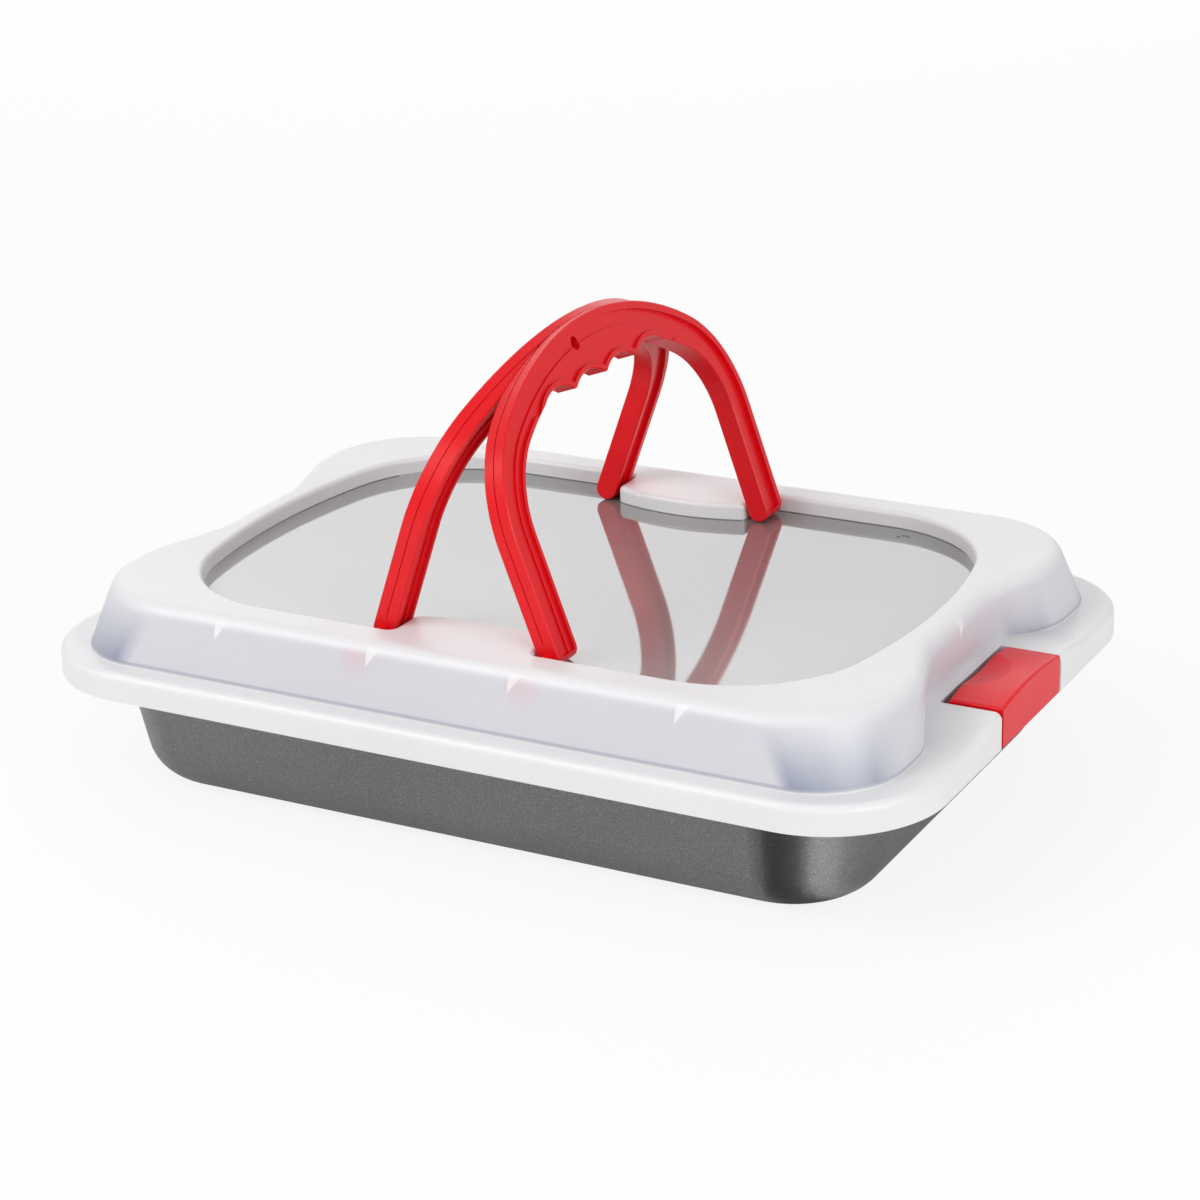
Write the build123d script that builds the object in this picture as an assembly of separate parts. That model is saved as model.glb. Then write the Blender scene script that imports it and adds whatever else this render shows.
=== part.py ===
from build123d import *
import math
import os

# Baking pan with a carrying lid: a stamped steel pan, a moulded lid that stands
# on its rim, two folding carrying arches and two end clips. Millimetres.
# X runs along the pan, Y across it and Z up; the origin is under the pan's middle.

# Pan. Its length, width and corner are those of the walls' foot, before rounding.
pan_sheet = 0.9
pan_length = 350.0
pan_width = 235.0
pan_corner = 37.4
pan_height = 57.2
pan_wall_draft = 11.3
pan_floor_radius = 20.0
pan_rim_end = 20.57
pan_rim_side = 13.07
pan_rim_corner = 49.0
pan_curl_radius = 1.8
pan_curl_sides = 8
pan_lip_bevel = 1.5
pan_lip_width = 6.0

# Lid
lid_wall = 1.6
skirt_gap = 1.4
skirt_drop = 5.2
skirt_edge_radius = 3.4
flange_rise = 7.4
flange_end = 15.5
flange_side = 10.2
platform_rise = 3.9
platform_half = 40.0
platform_ramp = 34.0
dome_rise = 28.7
dome_draft = 11.0
dome_edge_radius = 7.5
foot_corner = 37.0
foot_waist_depth = 16.0
foot_ramp_gap = 21.799688
foot_waist_ramp = 28.0
foot_waist_radius = 40.0
crest_corner = 50.0
crest_waist_depth = 11.0
crest_ramp_gap = 12.909964
crest_waist_ramp = 40.0
crest_waist_radius = 60.0

# Recess with the clear window, and the bosses between the feet of the arches
frame_end = 29.5
frame_side = 23.8
recess_crown = 21.0
recess_corner = 62.0
recess_depth = 7.8
recess_edge_radius = 2.2
window_thickness = 1.5
boss_half = 33.2
boss_reach = 25.0
boss_bow = 6.0
boss_corner = 3.5
web_thickness = 1.8
web_depth = 10.8
web_stations = (34.0, 110.0)
dimple_radius = 3.0
dimple_depth = 0.4
dimple_place = (109.0, 100.5)

# Carrying arches
arch_foot_spacing = 79.8
arch_pivot_height = 5.4
arch_thickness = 10.0
arch_end_gap = 4.1
arch_side_gap = 2.5
arch_foot_taper = 1.0
arch_crown_rise = 71.0
arch_shoulder = 56.0
arch_band = 16.0
arch_foot_band = 16.0
arch_border = 3.6
arch_inner_border = 2.4
arch_channel = 2.0
arch_channel_width = 6.5
arch_plate_depth = 1.3
arch_channel_start = -1.5
arch_meeting_gap = 0.3
arch_overlap = 5.9
arch_bevel = 0.5
grip_depth = 27.0
grip_pitch = 27.5
grip_dip = 4.3
grip_cusp = 0.8
grip_fingers = 4
parting_groove = 0.5
pin_radius = 2.0
pin_reach = 5.2
peg_radius = 1.5
peg_reach = 3.2
peg_offset = 15.0
peg_drop = 8.7
peg_hole_radius = 2.8

# End clips
clip_half = 32.7
clip_reach = 24.2
clip_proud = 1.0
clip_plate = 2.8
clip_wall = 2.0
clip_end_wall = 2.0
clip_drop = 5.0
clip_lip_gap = 0.3
clip_hinge_inset = 4.2
clip_hinge_rise = 7.3
clip_pin_radius = 1.75
clip_pin_reach = 3.6
clip_edge_radius = 1.2
clip_rib = 1.5
clip_rib_spacing = 22.0
clip_crown = 2.4
thumb_reach = 14.0
thumb_half = 25.0
thumb_depth = 2.4

# Clearances
running_clearance = 0.08
notch_clearance = 1.8
notch_back_clearance = 3.2
cheek_rim_clearance = 1.0

pan_flare = pan_height * math.tan(math.radians(pan_wall_draft))
pan_rim_length = pan_length + 2 * (pan_flare + pan_rim_end)
pan_rim_width = pan_width + 2 * (pan_flare + pan_rim_side)
lid_length = pan_rim_length + 2 * (skirt_gap + lid_wall)
lid_width = pan_rim_width + 2 * (skirt_gap + lid_wall)
lid_corner = pan_rim_corner + skirt_gap + lid_wall
skirt_bottom = pan_height - skirt_drop
flange_top = pan_height + flange_rise
dome_top = flange_top + dome_rise
dome_length = lid_length - 2 * flange_end
dome_width = lid_width - 2 * flange_side
foot_ramp_end = dome_width / 2 - foot_corner - foot_ramp_gap
foot_waist_half = foot_ramp_end - foot_waist_ramp
dome_inset = (dome_rise + lid_wall) * math.tan(math.radians(dome_draft))
crest_ramp_end = dome_width / 2 - dome_inset - crest_corner - crest_ramp_gap
crest_waist_half = crest_ramp_end - crest_waist_ramp
recess_length = dome_length - 2 * frame_end
recess_width = dome_width - 2 * frame_side
window_top = dome_top - recess_depth
pivot_z = window_top + arch_pivot_height
foot_x = arch_foot_spacing / 2
arch_height = recess_length / 2 - foot_x - arch_end_gap
arch_half_width = recess_width / 2 - arch_side_gap
arch_leg_top = arch_height - arch_crown_rise
clip_inner = lid_length / 2 - clip_reach
clip_pivot_x = clip_inner + clip_hinge_inset
clip_pivot_z = pan_height + clip_hinge_rise
clip_top = flange_top + platform_rise + clip_proud
clip_bottom = pan_height - clip_drop
notch_half = clip_half + notch_clearance
notch_inner = clip_inner - notch_back_clearance


def box_between(low, high):
    """Axis-aligned block from its lowest to its highest corner."""
    size = [b - a for a, b in zip(low, high)]
    middle = [(a + b) / 2 for a, b in zip(low, high)]
    return Pos(*middle) * Box(*size)


def rounded_block(length, width, corner, bottom, top):
    """Upright block with rounded corners in plan."""
    return Pos(0, 0, bottom) * extrude(RectangleRounded(length, width, corner), top - bottom)


def within(edge, length, width):
    """True for an edge that stays inside a rectangle about the origin."""
    box = edge.bounding_box()
    reach_x = max(abs(box.min.X), abs(box.max.X))
    reach_y = max(abs(box.min.Y), abs(box.max.Y))
    return reach_x < length / 2 and reach_y < width / 2


def carry_around(length, width, corner, section):
    """Carries a section round a rounded rectangle. In it X points outward and Y up."""
    run_x = length / 2 - corner
    run_y = width / 2 - corner
    pieces = []
    for way in (1, -1):
        end = Plane(origin=(way * length / 2, 0, 0), x_dir=(way, 0, 0), z_dir=(0, -way, 0))
        side = Plane(origin=(0, way * width / 2, 0), x_dir=(0, way, 0), z_dir=(way, 0, 0))
        pieces.append(extrude(end * section, run_y, both=True))
        pieces.append(extrude(side * section, run_x, both=True))
        for across in (1, -1):
            turn = Axis((way * run_x, across * run_y, 0), (0, 0, way * across))
            start = Plane(origin=(way * length / 2, across * run_y, 0), x_dir=(way, 0, 0), z_dir=(0, -way, 0))
            pieces.append(revolve(start * section, axis=turn, revolution_arc=90))
    return pieces[0] + pieces[1:]


def sheet_section():
    """Section of the sheet: floor edge, drafted wall and the start of the rim."""
    draft = math.radians(pan_wall_draft)
    slope = math.tan(draft)
    across = pan_sheet / math.cos(draft)
    floor = -pan_floor_radius
    outer_top = (pan_height - pan_sheet) * slope
    inner_foot = pan_sheet * slope - across
    inner_top = pan_height * slope - across
    corners = [
        (floor, 0),
        (0, 0),
        (outer_top, pan_height - pan_sheet),
        (pan_flare + pan_lip_width, pan_height - pan_sheet),
        (pan_flare + pan_lip_width, pan_height),
        (inner_top, pan_height),
        (inner_foot, pan_sheet),
        (floor, pan_sheet),
    ]
    section = make_face(Polyline(*corners, close=True))
    for index, radius in ((1, pan_floor_radius), (6, pan_floor_radius - pan_sheet)):
        section = fillet(nearest_vertex(section, corners[index]), radius)
    return chamfer(nearest_vertex(section, corners[5]), pan_lip_bevel)


def nearest_vertex(sketch, spot):
    """The corner of a sketch that lies nearest to a point."""
    return sketch.vertices().sort_by_distance(Vector(*spot))[0]


def build_pan():
    """Stamped steel pan: rounded floor edge, drafted walls, flat rim and rolled edge."""
    walls = carry_around(pan_length, pan_width, pan_corner, sheet_section())
    reach = 1 - pan_floor_radius
    floor = rounded_block(pan_length + 2 * reach, pan_width + 2 * reach, pan_corner + reach, 0, pan_sheet)
    curl_line = (
        pan_rim_length - 2 * pan_curl_radius,
        pan_rim_width - 2 * pan_curl_radius,
        pan_rim_corner - pan_curl_radius,
    )
    rim = rounded_block(*curl_line, pan_height - pan_sheet, pan_height)
    lap = pan_flare + pan_lip_width - 1
    mouth = rounded_block(pan_length + 2 * lap, pan_width + 2 * lap, pan_corner + lap, 0, pan_height + 1)
    bead = RegularPolygon(pan_curl_radius, pan_curl_sides, major_radius=False, rotation=180 / pan_curl_sides)
    bead = Pos(0, pan_height - pan_curl_radius) * bead
    return walls + floor + (rim - mouth) + carry_around(*curl_line, bead)


def dome_outline(inward, inset, corner, waist):
    """Plan of the dome at one level: full corners, and a waist at each short end."""
    depth, half, ramp, radius = waist
    x_full = dome_length / 2 - inward
    y_full = dome_width / 2 - inward
    quarter = [(x_full - depth, half), (x_full, half + ramp), (x_full, y_full)]
    corners = [(x, y) for x, y in quarter]
    corners += [(-x, y) for x, y in reversed(quarter)]
    corners += [(-x, -y) for x, y in quarter]
    corners += [(x, -y) for x, y in reversed(quarter)]
    radii = [radius, radius, corner, corner, radius, radius]
    outline = make_face(FilletPolyline(*corners, radius=radii + radii, close=True))
    if inset:
        outline = offset(outline, -inset)
    return outline


def dome_foot(inset):
    """Plan of the dome where its walls rise from the flange."""
    waist = (foot_waist_depth, foot_waist_half, foot_waist_ramp, foot_waist_radius)
    return dome_outline(0, inset, foot_corner, waist)


def dome_crest(inward, inset):
    """Plan of the dome at its top: rounder corners and a shallower, longer waist."""
    waist = (crest_waist_depth, crest_waist_half, crest_waist_ramp, crest_waist_radius)
    return dome_outline(inward, inset, crest_corner, waist)


def bevel_behind(radius):
    """Bevel that keeps the wall even behind an outer round of this inner radius."""
    return 0.58 * radius


def dome_form(inset):
    """Dome above the flange, and straight below it down to the pan's rim."""
    base = flange_top - lid_wall
    top = dome_top - inset
    inward = (top - base) * math.tan(math.radians(dome_draft))
    foot = dome_foot(inset)
    upper = loft([Pos(0, 0, base) * foot, Pos(0, 0, top) * dome_crest(inward, inset)], ruled=True)
    run = dome_length / 2 - inward - crest_corner - 2 * lid_wall
    wide = dome_width / 2 - inset
    upper -= box_between((-run, -wide - 1, base - 1), (run, wide + 1, top + 1))
    middle = [(-wide, base), (wide, base), (wide - inward, top), (inward - wide, top)]
    upper += extrude(Plane.YZ * make_face(Polyline(*middle, close=True)), run, both=True)
    brim = upper.edges().group_by(Axis.Z)[-1]
    if inset:
        upper = chamfer(brim, bevel_behind(dome_edge_radius - inset))
    else:
        upper = fillet(brim, dome_edge_radius)
    return upper + extrude(Pos(0, 0, pan_height) * foot, base - pan_height)


def recess_outline(grow):
    """Plan of the recess: crowned ends, and a boss bulging in from each long side."""
    side = recess_width / 2
    crown = side - boss_reach
    shoulder = crown + boss_bow
    end_radius = (side**2 + recess_crown**2) / (2 * recess_crown)
    pocket = Rectangle(recess_length + 10, recess_width)
    for way in (1, -1):
        pocket &= Pos(way * (recess_length / 2 - end_radius), 0) * Circle(end_radius)
    pocket = fillet(pocket.vertices(), recess_corner)
    for way in (1, -1):
        bow = ThreePointArc((-boss_half, way * shoulder), (0, way * crown), (boss_half, way * shoulder))
        rest = Polyline(
            (boss_half, way * shoulder),
            (boss_half, way * (side + 5)),
            (-boss_half, way * (side + 5)),
            (-boss_half, way * shoulder),
        )
        pocket -= make_face(Curve() + [bow, rest])
    corners = [v for v in pocket.vertices() if abs(abs(v.X) - boss_half) < 0.1]
    pocket = fillet(corners, boss_corner)
    if grow:
        pocket = offset(pocket, grow)
    return pocket


def flange_block(inset):
    """Flange and skirt as a solid block: its top rises to a platform at each clip."""
    low = flange_top - inset
    high = low + platform_rise
    near = platform_half
    far = platform_half + platform_ramp
    half = lid_width
    bottom = skirt_bottom - inset
    middle = (near + far) / 2
    right = Spline((near, high), (middle, (low + high) / 2), (far, low), tangents=[(1, 0), (1, 0)])
    left = mirror(right, Plane.YZ)
    rest = Polyline((far, low), (half, low), (half, bottom), (-half, bottom), (-half, low), (-far, low))
    profile = make_face(Curve() + [Line((-near, high), (near, high)), right, left, rest])
    prism = extrude(Plane.YZ * profile, lid_length, both=True)
    plan = rounded_block(
        lid_length - 2 * inset,
        lid_width - 2 * inset,
        lid_corner - inset,
        bottom,
        high + 1,
    )
    block = plan & prism
    brim = [e for e in block.edges() if e.bounding_box().min.Z > low - 0.01 and at_outline(e, inset)]
    if inset:
        return chamfer(brim, bevel_behind(skirt_edge_radius - inset))
    return fillet(brim, skirt_edge_radius)


def at_outline(edge, inset):
    """True for an edge that runs round the flange's outline."""
    box = edge.bounding_box()
    if abs(edge.center().Y) < platform_half + platform_ramp - 1:
        return max(abs(box.min.X), abs(box.max.X)) > lid_length / 2 - inset - 0.1 and box.size.X < 1
    return True


def web_blocks():
    """Webs between the dome's wall and the recess's wall, under the frame."""
    webs = []
    low = dome_top - web_depth
    half = web_thickness / 2
    for station in web_stations:
        for x in (station, -station):
            for way in (1, -1):
                y_low, y_high = sorted((way * (recess_width / 2 - 1), way * (dome_width / 2 + 1)))
                webs.append(box_between((x - half, y_low, low), (x + half, y_high, dome_top)))
    for way in (1, -1):
        far = dome_length / 2 - foot_waist_depth + 1
        x_low, x_high = sorted((way * (recess_length / 2 - 1), way * far))
        webs.append(box_between((x_low, -half, low), (x_high, half, dome_top)))
    return webs


def cheek_blocks():
    """Plates beside and behind each clip: they close the flange and hold the clip's pins."""
    cheeks = []
    low = pan_height + cheek_rim_clearance
    inner = dome_length / 2 - foot_waist_depth - lid_wall / 2
    outer = lid_length / 2 - lid_wall / 2
    reach = notch_half + lid_wall
    for way in (1, -1):
        x_low, x_high = sorted((way * notch_inner, way * (notch_inner - lid_wall)))
        cheeks.append(box_between((x_low, -reach, pan_height), (x_high, reach, clip_top)))
        for side in (1, -1):
            x_low, x_high = sorted((way * inner, way * outer))
            y_low, y_high = sorted((side * notch_half, side * reach))
            cheeks.append(box_between((x_low, y_low, low), (x_high, y_high, clip_top)))
    return cheeks


def build_lid():
    """One moulding: skirt, flange, dome, frame and the clear window in its recess."""
    pocket = extrude(Pos(0, 0, window_top) * recess_outline(0), recess_depth)
    dome = dome_form(0) - pocket
    rim = [e for e in dome.edges().group_by(Axis.Z)[-1] if within(e, recess_length + 3, recess_width + 3)]
    dome = fillet(rim, recess_edge_radius)
    skin = flange_block(0) + dome

    window_depth = recess_depth + window_thickness
    hollow = dome_form(lid_wall)
    hollow -= extrude(Pos(0, 0, window_top - window_thickness) * recess_outline(lid_wall), window_depth)
    for web in web_blocks():
        hollow -= web
    gap = flange_block(lid_wall)
    gap -= extrude(Pos(0, 0, pan_height) * dome_foot(0), clip_top)
    for cheek in cheek_blocks():
        gap -= cheek
    return cut_openings(skin - gap - hollow)


def cut_openings(lid):
    """Notches for the clips, holes for all pins, and the gate's dimple in the window."""
    for way in (1, -1):
        x_low, x_high = sorted((way * notch_inner, way * (lid_length / 2 + 5)))
        lid -= box_between((x_low, -notch_half, skirt_bottom - 5), (x_high, notch_half, clip_top + 5))
        clip_hole = Cylinder(clip_pin_radius + running_clearance, 2 * (notch_half + lid_wall + 1))
        lid -= Pos(way * clip_pivot_x, 0, clip_pivot_z) * Rot(90, 0, 0) * clip_hole
        for side in (1, -1):
            reach = pin_reach + 4
            hole = Cylinder(pin_radius + running_clearance, reach)
            place = Pos(way * foot_x, side * (arch_half_width + reach / 2), pivot_z)
            lid -= place * Rot(90, 0, 0) * hole
    return lid - Pos(*dimple_place, window_top) * Cylinder(dimple_radius, 2 * dimple_depth)


def arch_region(half_width, shoulder, height, foot_half):
    """Area under an arch: upright legs, two shoulders and a flatter crown."""
    centre_y = half_width - shoulder
    drop = height - arch_leg_top
    crown = (centre_y**2 + drop**2 - shoulder**2) / (2 * (drop - shoulder))
    slope = math.atan2(arch_leg_top - height + crown, centre_y)
    meet = (centre_y + shoulder * math.cos(slope), arch_leg_top + shoulder * math.sin(slope))
    half_turn = slope / 2
    bend = (centre_y + shoulder * math.cos(half_turn), arch_leg_top + shoulder * math.sin(half_turn))
    foot = -arch_thickness / 2
    right = [
        Line((foot_half, foot), (half_width, arch_leg_top)),
        ThreePointArc((half_width, arch_leg_top), bend, meet),
    ]
    crown_arc = ThreePointArc(meet, (0, height), (-meet[0], meet[1]))
    left = [mirror(piece, Plane.YZ) for piece in right]
    floor = Line((-foot_half, foot), (foot_half, foot))
    return make_face(Curve() + right + [crown_arc] + left + [floor])


def arch_plan(border, inner_border):
    """Flat outline of an arch with its finger grip, shrunk by a border all round."""
    foot_half = arch_half_width - arch_foot_taper
    outer = arch_region(
        arch_half_width - border,
        arch_shoulder - border,
        arch_height - border,
        foot_half - border,
    )
    inset = arch_band - inner_border
    inner = arch_region(
        arch_half_width - inset,
        arch_shoulder - inset,
        arch_height - inset,
        foot_half - arch_foot_band + inner_border,
    )
    grip_level = arch_height - grip_depth
    top = grip_level - inner_border
    void = inner & (Pos(0, top / 2 - 10) * Rectangle(2 * arch_half_width, top + 20))
    chord = grip_pitch / 2 - grip_cusp
    dip_radius = (chord**2 + grip_dip**2) / (2 * grip_dip)
    for finger in range(grip_fingers):
        y = (finger - (grip_fingers - 1) / 2) * grip_pitch
        void += Pos(y, grip_level + grip_dip - dip_radius) * Circle(dip_radius + inner_border)
    return outer - void


def build_arch():
    """One carrying arch upright on its pivot axis, its inner face towards -X."""
    half = arch_thickness / 2
    body = extrude(Plane.YZ * arch_plan(0, 0), half, both=True)
    feet = [e for e in body.edges().group_by(Axis.Z)[0] if e.bounding_box().size.Y > arch_foot_band / 2]
    body = fillet(feet, half - 0.05)
    outline = [e for e in body.edges() if abs(abs(e.center().X) - half) < 0.01 and e.center().Z > half]
    body = chamfer(outline, arch_bevel)
    plate = arch_plan(arch_border, arch_inner_border)
    channel = plate - arch_plan(arch_border + arch_channel_width, -1)
    below = Pos(0, arch_channel_start - 20) * Rectangle(3 * arch_half_width, 40)
    for region, depth in ((plate, arch_plate_depth), (channel, arch_channel)):
        for side in (1, -1):
            start = Plane.YZ.offset(side * (half - depth))
            body -= extrude(start * (region - below), side * (depth + 1))
    groove = arch_plan(0, 0) - arch_plan(parting_groove, 0)
    groove -= Rectangle(3 * arch_half_width, 2 * half + 2)
    body -= extrude(Plane.YZ * groove, parting_groove / 2, both=True)
    return stand_arch(body)


def stand_arch(body):
    """The arch with its pivot pins, leaning in on its pivots till the crowns lie flush."""
    for side in (1, -1):
        start = arch_half_width - arch_foot_taper - 1
        length = arch_foot_taper + 1 + pin_reach
        pin = Cylinder(pin_radius, length)
        body += Pos(0, side * (start + length / 2), 0) * Rot(90, 0, 0) * pin
    body = Pos(foot_x, 0, pivot_z) * Rot(0, -arch_lean(), 0) * body
    beyond = (-arch_height, -arch_half_width, pivot_z)
    body -= box_between(beyond, (arch_meeting_gap / 2, arch_half_width, pivot_z + arch_height))
    return add_peg(body)


def add_peg(arch):
    """Level peg of one arch and the hole for the other's, through the flush crowns."""
    level = arch_height - peg_drop
    lean = math.radians(arch_lean())
    middle = foot_x - level * math.sin(lean)
    height = pivot_z + level * math.cos(lean)
    peg = Cylinder(peg_radius, middle + peg_reach, align=(Align.CENTER, Align.CENTER, Align.MIN))
    peg = chamfer(peg.edges().group_by(Axis.Z)[-1], peg_radius * 0.4)
    arch += Pos(middle, peg_offset, height) * Rot(0, -90, 0) * peg
    hole = Cylinder(peg_hole_radius, 4 * arch_thickness)
    return arch - Pos(middle, -peg_offset, height) * Rot(0, 90, 0) * hole


def arch_lean():
    """Lean from upright that carries each crown past the middle by the overlap."""
    reach = foot_x - arch_meeting_gap / 2 + arch_overlap
    span = math.hypot(arch_height, arch_thickness / 2)
    return math.degrees(math.asin(reach / span) - math.atan2(arch_thickness / 2, arch_height))


def build_clip():
    """Right-hand clip: thumb plate, outer wall with its lip, end walls and pins."""
    outer = lid_length / 2
    low = pan_height + cheek_rim_clearance
    crest = clip_top + clip_crown
    outline = [
        (clip_inner, crest),
        (outer, crest),
        (outer, clip_bottom),
        (outer - clip_wall, clip_bottom),
        (outer - clip_wall, low),
        (clip_pivot_x + 2 * clip_pin_radius, low),
        (clip_inner, clip_pivot_z - 2 * clip_pin_radius),
    ]
    section = make_face(Polyline(*outline, close=True))
    clip = extrude(Plane.XZ * section, clip_half, both=True)
    arc = (clip_half**2 + clip_crown**2) / (2 * clip_crown)
    clip &= Pos(outer, 0, crest - arc) * Rot(0, 90, 0) * Cylinder(arc, 4 * clip_reach)
    brim = [e for e in clip.edges() if e.bounding_box().min.Z > clip_top - 0.1]
    clip = fillet(brim, clip_edge_radius)
    inner = clip_half - clip_end_wall
    plate_low = clip_top - clip_plate
    hollow = box_between((clip_inner - 5, -inner, clip_bottom - 5), (outer - clip_wall, inner, plate_low))
    for y in (-clip_rib_spacing / 2, clip_rib_spacing / 2):
        half = clip_rib / 2
        hollow -= box_between((clip_inner, y - half, clip_pivot_z + 0.5), (outer, y + half, clip_top))
    clip -= hollow
    lip_inner = pan_rim_length / 2 + clip_lip_gap
    lip_top = pan_height - 2 * pan_curl_radius - clip_lip_gap
    clip += box_between((lip_inner, -clip_half, clip_bottom), (outer - clip_wall / 2, clip_half, lip_top))
    clip -= thumb_dish(crest)
    for side in (1, -1):
        pin = Cylinder(clip_pin_radius, clip_pin_reach + 1)
        middle = side * (clip_half + (clip_pin_reach - 1) / 2)
        clip += Pos(clip_pivot_x, middle, clip_pivot_z) * Rot(90, 0, 0) * pin
    return clip


def thumb_dish(crest):
    """Shallow round dish in the back of the clip's crowned top, for the thumb."""
    rim = (thumb_half**2 + thumb_reach**2) / (2 * thumb_reach)
    set_back = rim - thumb_reach
    radius = (rim**2 - set_back**2) / (2 * thumb_depth)
    drop = math.sqrt(radius**2 - set_back**2) - thumb_depth
    return Pos(clip_inner - set_back, 0, crest + drop) * Sphere(radius)


def build_parts():
    """Every separate piece in its place, by name."""
    arch = build_arch()
    clip = build_clip()
    turned = Rot(0, 0, 180)
    return {
        "pan": build_pan(),
        "lid": build_lid(),
        "right_handle": arch,
        "left_handle": turned * arch,
        "right_clip": clip,
        "left_clip": turned * clip,
    }


def main():
    os.makedirs("parts", exist_ok=True)
    for name, solid in build_parts().items():
        export_step(solid, f"parts/{name}.step")


main()
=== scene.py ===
import math

import bpy
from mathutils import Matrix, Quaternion, Vector

# Looks of a baking pan with a carrying lid. Metres; X along the pan, Z up.

# The photograph's view of the part, in degrees, metres and millimetres of lens
VIEW_AZIMUTH = 28.81
VIEW_ELEVATION = 20.84
VIEW_ROLL = -1.66
VIEW_DISTANCE = 1.4
VIEW_TARGET = (-0.0029, 0.0157, 0.067)
VIEW_LENS = 93.0
SENSOR_WIDTH = 36
CLIP_END = 50

# The lid's clear window: its heights, its half sizes, the margin from it to the
# outer walls and the reach of its painted shade, which fades from front to back
WINDOW_LOW = 0.0838
WINDOW_HIGH = 0.0859
WINDOW_HALF_X = 0.1655
WINDOW_HALF_Y = 0.1112
WINDOW_EDGE = 0.0015
WINDOW_FADE_Y = 0.11

# The dome's outer walls, which carry painted shade from their foot up
DOME_END = 0.1952
WALL_FOOT = 0.0646
WALL_FADE = 0.002
WALL_TOP = 0.0933
SHADE_DROP = 0.004
SIDE_FROM_Y = 0.118
END_HALF_Y = 0.03

# Parts of a face's direction: the upward part of a wall and of a top, and the
# parts along X between which a corner's painted shade comes in and goes out
WALL_FACING = 0.25
TOP_FACING = 0.85
CORNER_START = (0.02, 0.18)
CORNER_END = (0.80, 0.97)
CORNER_SHADE_SHARE = 0.9

# Painted shade: the dark line where the dome meets the flange
CREASE_RISE = 0.0013
CREASE_CORE = 0.0003
CREASE_REACH = 0.0011
CREASE_SHARE = 0.6

# The webs behind the dome's walls: places along X on the sides and Y on the ends
SIDE_WEBS = (-0.11, -0.034, 0.034, 0.11)
END_WEBS = (0,)
WEB_LOW = 0.0824
WEB_HALF = 0.0009
WEB_SLOPE = 0.75
WEB_FADE = 0.0006

# The arches' feet behind the dome's walls, and the pink painted on the walls where
# they show through
FOOT_X = 0.0399
FOOT_Z = 0.0865
BLUR_CORE = 0.002
BLUR_REACH = 0.011
BLUR_SHARE = 0.22

# Painted sheen and painted shade on the pan: how bright its colour is painted as its
# wall turns from one end to the other
PAN_PAINTED_SHEEN = (
    (0.0, 0.30),
    (0.22, 0.42),
    (0.40, 0.34),
    (0.50, 0.36),
    (0.555, 0.22),
    (0.61, 0.09),
    (0.69, 0.12),
    (0.75, 0.32),
    (0.82, 0.62),
    (0.92, 0.42),
    (1.0, 0.40),
)
PAN_PAINTED_SHEEN_GAIN = 3.0

# Pairs of colours that a faint noise blends
COAT_GREYS = ((0.150, 0.150, 0.151), (0.180, 0.180, 0.181))
REDS = ((0.70, 0.003, 0.007), (0.78, 0.006, 0.013))
WHITES = ((0.86, 0.86, 0.875), (0.93, 0.93, 0.94))
# Painted shade on the dome's outer walls
WALL_SHADE_LAVENDERS = ((0.69, 0.68, 0.735), (0.77, 0.76, 0.81))
# Painted shade on the window, at its back and at its front
WINDOW_BACK_SHADE = ((0.20, 0.20, 0.205), (0.24, 0.24, 0.245))
WINDOW_FRONT_SHADE = ((0.44, 0.44, 0.442), (0.50, 0.50, 0.502))

# Single colours
FLECK_GREY = (0.42, 0.42, 0.425)
# Painted shade on the dome's corners
CORNER_SHADE_BLUE = (0.20, 0.25, 0.37)
WEB_WHITE = (0.97, 0.97, 0.97)
# Painted see-through light: the red feet's pink on the lid
PAINTED_FOOT_PINK = (0.95, 0.36, 0.42)
# Painted shade in the crease at the dome's foot
CREASE_SHADE_GREY = (0.36, 0.36, 0.45)
PAPER = (0.9, 0.9, 0.9)
FULL_WHITE = (1.0, 1.0, 1.0)

# The floor, and the share of full white that the camera sees in it
FLOOR_SIZE = 9
FLOOR_Z = -0.0004
FLOOR_ROUGHNESS = 0.8
FLOOR_GLOW = 0.86

# The surround: its strength as light, what the camera sees on top of that, and
# the share of it that gloss sees
WORLD_LIGHT = 0.55
WORLD_SEEN = 0.45
GLOSS_SHARE = 0.4

# Soft lamps: name, place, aim, width and height, watts
LAMPS = (
    ("key", (-0.9, -1.2, 1.4), (0, 0, 0.05), (1.2, 0.9), 17),
    ("fill", (1.6, -0.7, 0.7), (0, 0, 0.05), (1.0, 0.9), 12),
    ("back", (-0.95, 1.75, 0.85), (0, 0, 0.09), (2.4, 1.5), 9),
)

# The Mix node's sockets for each kind of data: first, second and result
MIX_SOCKETS = {"RGBA": (6, 7, 2), "FLOAT": (2, 3, 0)}


def feed(tree, source, socket):
    """Links a node's output to a socket, or sets the socket to a constant."""
    if isinstance(source, bpy.types.NodeSocket):
        tree.links.new(source, socket)
    elif isinstance(source, tuple):
        socket.default_value = (*source, 1)
    else:
        socket.default_value = source


def new_material(name):
    """An empty node material with its principled shader and output."""
    material = bpy.data.materials.new(name)
    material.use_nodes = True
    tree = material.node_tree
    tree.nodes.clear()
    shader = tree.nodes.new("ShaderNodeBsdfPrincipled")
    output = tree.nodes.new("ShaderNodeOutputMaterial")
    feed(tree, shader.outputs[0], output.inputs["Surface"])
    return material, tree, shader


def object_place(tree):
    """Object coordinates: the CAD frame in metres, whatever the pose."""
    return tree.nodes.new("ShaderNodeTexCoord").outputs["Object"]


def object_facing(tree):
    """The way each face looks in the CAD frame, whatever the pose."""
    return tree.nodes.new("ShaderNodeTexCoord").outputs["Normal"]


def split_axes(tree, vector):
    node = tree.nodes.new("ShaderNodeSeparateXYZ")
    feed(tree, vector, node.inputs[0])
    return node.outputs


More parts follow.
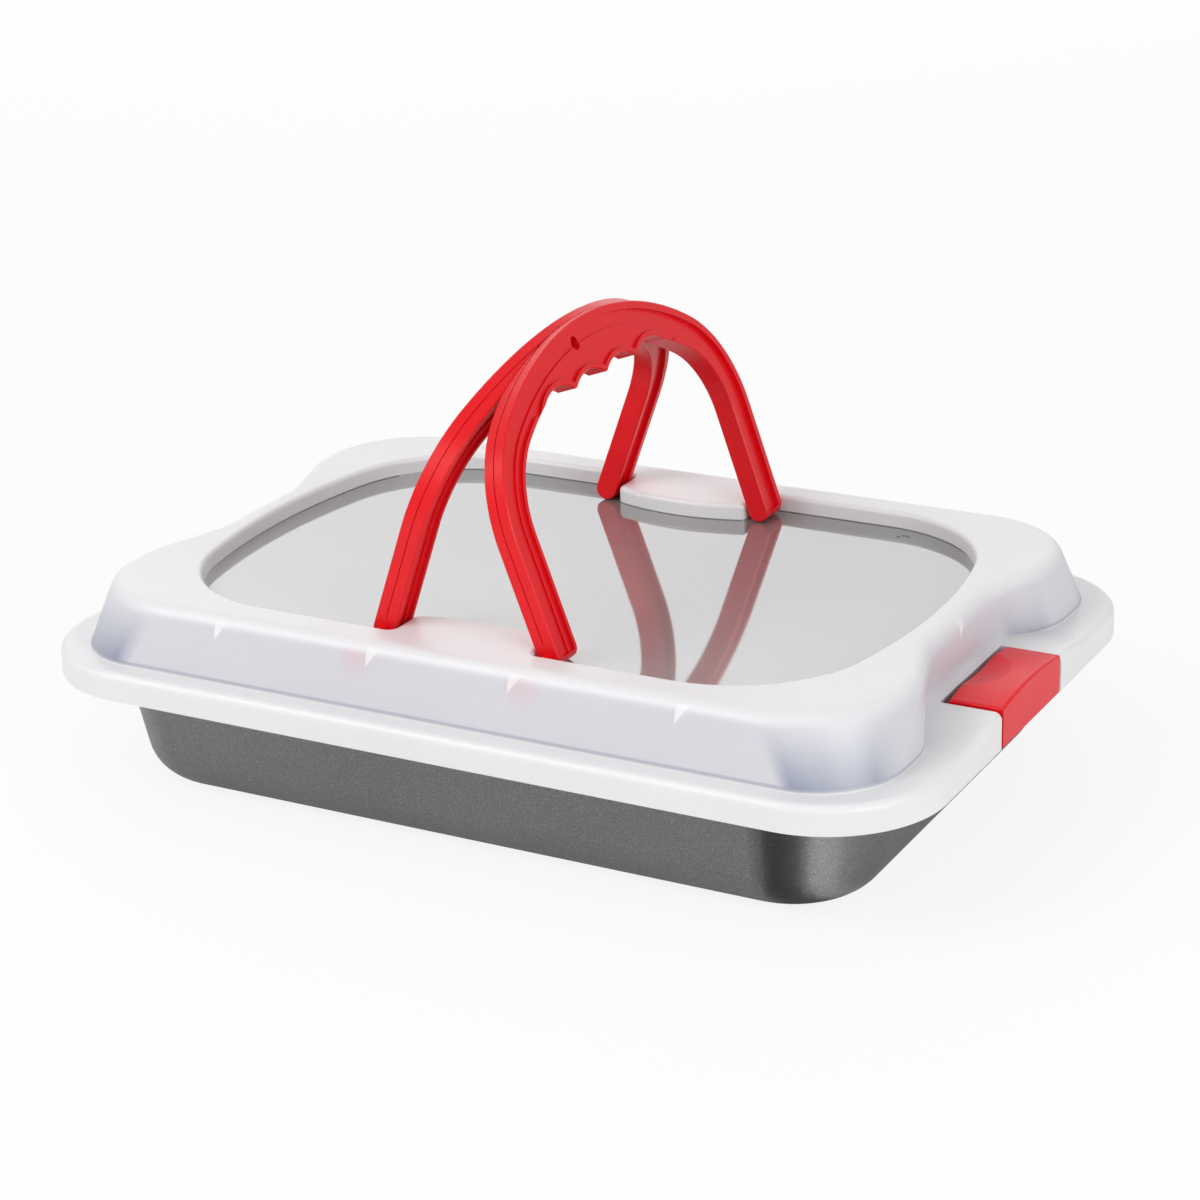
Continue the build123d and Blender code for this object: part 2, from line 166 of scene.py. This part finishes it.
def noise(tree, place, scale, detail, roughness=0.5):
    node = tree.nodes.new("ShaderNodeTexNoise")
    feed(tree, scale, node.inputs["Scale"])
    feed(tree, detail, node.inputs["Detail"])
    feed(tree, roughness, node.inputs["Roughness"])
    feed(tree, place, node.inputs["Vector"])
    return node.outputs["Fac"]


def remap(tree, value, span, target=(0.0, 1.0)):
    """Maps a span of the value to a target span, and holds it at both ends."""
    node = tree.nodes.new("ShaderNodeMapRange")
    names = ("From Min", "From Max", "To Min", "To Max")
    for name, number in zip(names, (*span, *target)):
        feed(tree, number, node.inputs[name])
    feed(tree, value, node.inputs["Value"])
    return node.outputs["Result"]


def blend(tree, kind, factor, first, second):
    node = tree.nodes.new("ShaderNodeMix")
    node.data_type = kind
    first_socket, second_socket, result = MIX_SOCKETS[kind]
    feed(tree, factor, node.inputs[0])
    feed(tree, first, node.inputs[first_socket])
    feed(tree, second, node.inputs[second_socket])
    return node.outputs[result]


def blend_colours(tree, factor, first, second):
    return blend(tree, "RGBA", factor, first, second)


def blend_values(tree, factor, first, second):
    return blend(tree, "FLOAT", factor, first, second)


def maths(tree, operation, *values):
    node = tree.nodes.new("ShaderNodeMath")
    node.operation = operation
    for value, socket in zip(values, node.inputs):
        feed(tree, value, socket)
    return node.outputs[0]


def product(tree, *values):
    """All the values multiplied together."""
    result = values[-1]
    for value in reversed(values[:-1]):
        result = maths(tree, "MULTIPLY", value, result)
    return result


def bump(tree, height, strength, distance, below=None):
    node = tree.nodes.new("ShaderNodeBump")
    feed(tree, strength, node.inputs["Strength"])
    feed(tree, distance, node.inputs["Distance"])
    feed(tree, height, node.inputs["Height"])
    if below:
        feed(tree, below, node.inputs["Normal"])
    return node.outputs["Normal"]


def painted_pan_sheen(tree):
    """Painted sheen and painted shade: the pan's colour made brighter and darker by
    how far its wall turns along X.
    """
    node = tree.nodes.new("ShaderNodeFloatCurve")
    points = node.mapping.curves[0].points
    for stop in PAN_PAINTED_SHEEN[1:-1]:
        points.new(*stop)
    for point, stop in zip(points, PAN_PAINTED_SHEEN):
        point.location = stop
    node.mapping.update()
    turn = split_axes(tree, object_facing(tree))[0]
    feed(tree, remap(tree, turn, (-1.0, 1.0)), node.inputs["Value"])
    return maths(tree, "MULTIPLY", node.outputs[0], PAN_PAINTED_SHEEN_GAIN)


def pan_material():
    """Dark grey non-stick coat on steel: fine bright flecks in a satin finish, with
    bands of painted sheen and painted shade set by which way the wall faces.
    """
    material, tree, shader = new_material("pan_coating")
    place = object_place(tree)
    fleck = noise(tree, place, scale=2200, detail=3.0, roughness=0.75)
    cloud = noise(tree, place, scale=14, detail=2.0)
    glint = remap(tree, fleck, (0.50, 0.74))
    coat = blend_colours(tree, cloud, *COAT_GREYS)
    coat = blend_colours(tree, glint, coat, FLECK_GREY)
    # Painted sheen and painted shade: the coat's colour scaled by which way the wall
    # faces
    sheen_painted_coat = tree.nodes.new("ShaderNodeVectorMath")
    sheen_painted_coat.operation = "SCALE"
    feed(tree, coat, sheen_painted_coat.inputs[0])
    feed(tree, painted_pan_sheen(tree), sheen_painted_coat.inputs["Scale"])
    feed(tree, sheen_painted_coat.outputs[0], shader.inputs["Base Color"])
    satin = remap(tree, fleck, (0.3, 0.7), (0.46, 0.34))
    feed(tree, satin, shader.inputs["Roughness"])
    feed(tree, 0.82, shader.inputs["Metallic"])
    skin = bump(tree, fleck, strength=0.35, distance=0.0002)
    feed(tree, skin, shader.inputs["Normal"])
    return material


def red_material():
    """Red moulded plastic: even colour, satin skin with faint flow marks."""
    material, tree, shader = new_material("red_plastic")
    place = object_place(tree)
    grain = noise(tree, place, scale=900, detail=2.0)
    flow = noise(tree, place, scale=60, detail=3.0)
    feed(tree, blend_colours(tree, flow, *REDS), shader.inputs["Base Color"])
    satin = remap(tree, flow, (0.3, 0.7), (0.26, 0.36))
    feed(tree, satin, shader.inputs["Roughness"])
    feed(tree, 0.3, shader.inputs["Specular IOR Level"])
    skin = bump(tree, grain, strength=0.08, distance=0.0001)
    skin = bump(tree, flow, strength=0.12, distance=0.0006, below=skin)
    feed(tree, skin, shader.inputs["Normal"])
    return material


def inside_window(tree, x, y, z):
    """1 on the lid's clear window, 0 on its frosted walls."""
    near_x = maths(tree, "LESS_THAN", maths(tree, "ABSOLUTE", x), WINDOW_HALF_X)
    near_y = maths(tree, "LESS_THAN", maths(tree, "ABSOLUTE", y), WINDOW_HALF_Y)
    above = maths(tree, "GREATER_THAN", z, WINDOW_LOW)
    below = maths(tree, "LESS_THAN", z, WINDOW_HIGH)
    return product(tree, above, below, near_x, near_y)


def web_marks(tree, along, z, places):
    """White wedges where the webs behind the lid's wall show through it."""
    height = product(tree, maths(tree, "SUBTRACT", z, WEB_LOW), WEB_SLOPE)
    marks = 0
    for place in places:
        beyond = maths(tree, "SUBTRACT", along, place - WEB_HALF)
        left = maths(tree, "SUBTRACT", height, beyond)
        inside = maths(tree, "MINIMUM", beyond, left)
        mark = remap(tree, inside, (0.0, WEB_FADE))
        marks = maths(tree, "MAXIMUM", marks, mark)
    return marks


def painted_foot_blurs(tree, x, z):
    """Painted pink spots where the red feet behind the lid's wall show through it."""
    aside = maths(tree, "SUBTRACT", maths(tree, "ABSOLUTE", x), FOOT_X)
    above = maths(tree, "SUBTRACT", z, FOOT_Z)
    squares = [product(tree, value, value) for value in (aside, above)]
    distance = maths(tree, "SQRT", maths(tree, "ADD", *squares))
    return remap(tree, distance, (BLUR_CORE, BLUR_REACH), (1.0, 0.0))


def painted_crease_shade(tree, z):
    """Painted shade: the thin dark line along the dome's foot."""
    away = maths(tree, "ABSOLUTE", maths(tree, "SUBTRACT", z, WALL_FOOT + CREASE_RISE))
    return remap(tree, away, (CREASE_CORE, CREASE_REACH), (CREASE_SHARE, 0.0))


def frosted_colour(tree, x, y, z, haze):
    """The milky plastic, with painted shade on the dome's walls, its corners and the
    line at its foot, the webs that show through its walls, and the red feet behind
    them painted in as pink.
    """
    across, _, facing = split_axes(tree, object_facing(tree))
    long_way = maths(tree, "ABSOLUTE", x)
    wide = maths(tree, "ABSOLUTE", y)

    wall = remap(tree, facing, (WALL_FACING, TOP_FACING), (1.0, 0.0))
    past_end = maths(tree, "GREATER_THAN", long_way, WINDOW_HALF_X + WINDOW_EDGE)
    past_side = maths(tree, "GREATER_THAN", wide, WINDOW_HALF_Y + WINDOW_EDGE)
    on_dome = maths(tree, "LESS_THAN", long_way, DOME_END)
    outer = product(tree, maths(tree, "MAXIMUM", past_end, past_side), on_dome)
    above_foot = remap(tree, z, (WALL_FOOT, WALL_FOOT + WALL_FADE))
    shell = product(tree, wall, above_foot, outer)
    side = product(tree, shell, maths(tree, "GREATER_THAN", wide, SIDE_FROM_Y))
    near_middle = maths(tree, "LESS_THAN", wide, END_HALF_Y)
    end = product(tree, shell, past_end, near_middle)

    white = blend_colours(tree, haze, *WHITES)
    # Painted shade: the dome's outer walls are painted lavender, darker than the white
    # tops of the same plastic
    wall_shade = blend_colours(tree, haze, *WALL_SHADE_LAVENDERS)
    colour = blend_colours(tree, shell, white, wall_shade)

    # Painted shade: a blue-grey darkening on the dome's corners, strongest near the
    # wall's foot
    low = remap(tree, z, (WALL_TOP - SHADE_DROP, WALL_FOOT))
    turn = maths(tree, "ABSOLUTE", across)
    turning = remap(tree, turn, CORNER_START)
    turned = remap(tree, turn, CORNER_END, (1.0, 0.0))
    corner_shade = product(tree, shell, low, turning, turned)
    corner_shade = product(tree, corner_shade, CORNER_SHADE_SHARE)
    colour = blend_colours(tree, corner_shade, colour, CORNER_SHADE_BLUE)

    side_marks = product(tree, side, web_marks(tree, x, z, SIDE_WEBS))
    end_marks = product(tree, end, web_marks(tree, y, z, END_WEBS))
    marks = maths(tree, "MAXIMUM", side_marks, end_marks)
    colour = blend_colours(tree, marks, colour, WEB_WHITE)

    # Painted see-through light: pink of the red feet painted on the lid's wall
    blur = product(tree, product(tree, side, painted_foot_blurs(tree, x, z)), BLUR_SHARE)
    colour = blend_colours(tree, blur, colour, PAINTED_FOOT_PINK)

    # Painted shade along the crease at the dome's foot
    crease = product(tree, painted_crease_shade(tree, z), wall, outer)
    return blend_colours(tree, crease, colour, CREASE_SHADE_GREY)


def painted_window_shade(tree, y, haze):
    """Painted shade on the clear window: a grey standing in for what is seen through
    it and reflected in it, darker towards the back.
    """
    front = remap(tree, y, (-WINDOW_FADE_Y, WINDOW_FADE_Y), (1.0, 0.0))
    back_shade = blend_colours(tree, haze, *WINDOW_BACK_SHADE)
    front_shade = blend_colours(tree, haze, *WINDOW_FRONT_SHADE)
    return blend_colours(tree, front, back_shade, front_shade)


def lid_material():
    """Milky translucent plastic with painted shade on its dome, and a clear glossy
    window in its recess with a painted grey.
    """
    material, tree, shader = new_material("lid_plastic")
    place = object_place(tree)
    x, y, z = split_axes(tree, place)
    window = inside_window(tree, x, y, z)
    haze = noise(tree, place, scale=9, detail=2.0)
    grain = noise(tree, place, scale=1100, detail=2.0)
    ripple = noise(tree, place, scale=22, detail=1.0)

    frosted = frosted_colour(tree, x, y, z, haze)
    # Painted shade: the window's grey stands in for what is seen through it and
    # reflected in it
    clear = painted_window_shade(tree, y, haze)
    colour = blend_colours(tree, window, frosted, clear)
    feed(tree, colour, shader.inputs["Base Color"])

    # Each socket's value on the frosted walls and on the window
    satin = remap(tree, grain, (0.3, 0.7), (0.33, 0.42))
    finish = {
        "Roughness": (satin, 0.06),
        "Transmission Weight": (0.16, 0.25),
        "Coat Weight": (0.0, 1.0),
    }
    for name, (on_wall, on_window) in finish.items():
        value = blend_values(tree, window, on_wall, on_window)
        feed(tree, value, shader.inputs[name])
    feed(tree, 0.04, shader.inputs["Coat Roughness"])
    feed(tree, 1.8, shader.inputs["Coat IOR"])
    feed(tree, 1.49, shader.inputs["IOR"])

    skin = bump(tree, grain, strength=0.02, distance=0.00005)
    skin = bump(tree, ripple, strength=0.10, distance=0.0008, below=skin)
    feed(tree, skin, shader.inputs["Normal"])
    return material


def dress(frame):
    """Gives every CAD node its finish."""
    red = red_material()
    finish = {
        "pan": pan_material(),
        "lid": lid_material(),
        "right_handle": red,
        "left_handle": red,
        "right_clip": red,
        "left_clip": red,
    }
    for name, material in finish.items():
        mesh = frame["nodes"][name].data
        mesh.materials.clear()
        mesh.materials.append(material)


def make_floor():
    """Pale floor that reads as white to the camera and keeps a soft shadow."""
    bpy.ops.mesh.primitive_plane_add(size=FLOOR_SIZE, location=(0, 0, FLOOR_Z))
    floor = bpy.context.object
    floor.name = "floor"
    material, tree, shader = new_material("floor_paper")
    feed(tree, PAPER, shader.inputs["Base Color"])
    feed(tree, FLOOR_ROUGHNESS, shader.inputs["Roughness"])
    glow = tree.nodes.new("ShaderNodeEmission")
    feed(tree, FULL_WHITE, glow.inputs["Color"])
    path = tree.nodes.new("ShaderNodeLightPath")
    mix = tree.nodes.new("ShaderNodeMixShader")
    share = maths(tree, "MULTIPLY", path.outputs["Is Camera Ray"], FLOOR_GLOW)
    for source, socket in zip((share, shader.outputs[0], glow.outputs[0]), mix.inputs):
        feed(tree, source, socket)
    feed(tree, mix.outputs[0], tree.nodes["Material Output"].inputs["Surface"])
    floor.data.materials.append(material)


def make_world():
    """White surround that also shows in gloss and through the lid."""
    world = bpy.data.worlds.new("studio")
    bpy.context.scene.world = world
    world.use_nodes = True
    tree = world.node_tree
    tree.nodes.clear()
    path = tree.nodes.new("ShaderNodeLightPath").outputs
    seen = maths(tree, "MAXIMUM", path["Is Camera Ray"], path["Is Transmission Ray"])
    gloss = maths(tree, "MULTIPLY", path["Is Glossy Ray"], GLOSS_SHARE)
    seen = maths(tree, "MAXIMUM", seen, gloss)
    strength = maths(tree, "MULTIPLY_ADD", seen, WORLD_SEEN, WORLD_LIGHT)
    background = tree.nodes.new("ShaderNodeBackground")
    feed(tree, FULL_WHITE, background.inputs["Color"])
    feed(tree, strength, background.inputs["Strength"])
    output = tree.nodes.new("ShaderNodeOutputWorld")
    feed(tree, background.outputs[0], output.inputs["Surface"])


def make_lamp(name, place, aim, size, watts):
    """Soft rectangular lamp at a place, turned to its aim."""
    data = bpy.data.lights.new(name, "AREA")
    data.shape = "RECTANGLE"
    data.size, data.size_y = size
    data.energy = watts
    lamp = bpy.data.objects.new(name, data)
    lamp.location = place
    ray = Vector(aim) - Vector(place)
    lamp.rotation_euler = ray.to_track_quat("-Z", "Y").to_euler()
    bpy.context.scene.collection.objects.link(lamp)


def make_camera():
    """Camera at the photograph's angle."""
    azimuth = math.radians(VIEW_AZIMUTH)
    elevation = math.radians(VIEW_ELEVATION)
    back = Vector(
        (
            math.sin(azimuth) * math.cos(elevation),
            -math.cos(azimuth) * math.cos(elevation),
            math.sin(elevation),
        )
    )
    data = bpy.data.cameras.new("camera")
    data.lens = VIEW_LENS
    data.sensor_width = SENSOR_WIDTH
    data.clip_end = CLIP_END
    camera = bpy.data.objects.new("camera", data)
    camera.rotation_mode = "QUATERNION"
    roll = Quaternion((0, 0, 1), math.radians(VIEW_ROLL))
    camera.rotation_quaternion = (-back).to_track_quat("-Z", "Y") @ roll
    camera.location = Vector(VIEW_TARGET) + back * VIEW_DISTANCE
    bpy.context.scene.collection.objects.link(camera)
    bpy.context.scene.camera = camera


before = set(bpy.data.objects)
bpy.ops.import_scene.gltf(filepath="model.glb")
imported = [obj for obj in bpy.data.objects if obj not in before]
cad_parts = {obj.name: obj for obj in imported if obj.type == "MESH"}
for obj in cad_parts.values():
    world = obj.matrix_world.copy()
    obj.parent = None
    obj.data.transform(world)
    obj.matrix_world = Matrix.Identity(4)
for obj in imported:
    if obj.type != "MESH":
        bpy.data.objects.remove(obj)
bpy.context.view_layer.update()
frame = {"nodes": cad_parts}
bpy.context.scene.view_settings.view_transform = "Standard"
dress(frame)
make_floor()
make_world()
for lamp in LAMPS:
    make_lamp(*lamp)
make_camera()
